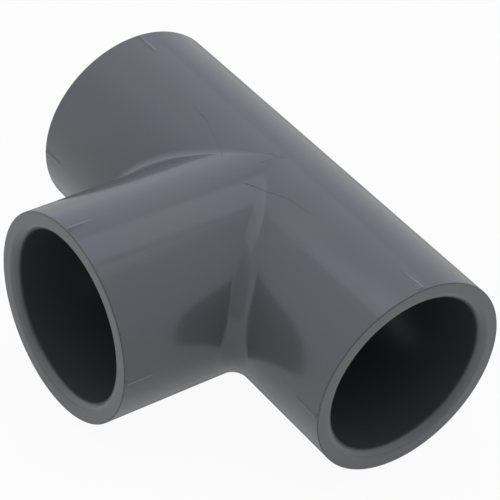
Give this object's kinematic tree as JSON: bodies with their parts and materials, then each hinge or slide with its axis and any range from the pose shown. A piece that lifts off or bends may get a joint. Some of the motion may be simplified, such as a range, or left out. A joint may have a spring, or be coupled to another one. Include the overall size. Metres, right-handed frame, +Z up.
{
  "type": "pvc tee fitting",
  "caption": "Rigid plastic pipe tee with plain sockets in line and a branch socket square to them, for solvent-welding pressure pipe into a T junction.",
  "frame": {"origin": "Where the centre lines of the run and of the branch cross, which is the middle of the run's waterway", "axes": "+X along the run, -Y out of the branch's mouth, +Z up with the fitting lying on its side"},
  "size_m": [0.1142, 0.0836, 0.053],
  "materials": {
    "grey_pvc": "dark cool-grey moulded plastic, smooth and semi-gloss"
  },
  "bodies": {
    "root": {"tee_body": "grey_pvc"}
  },
  "joints": []
}
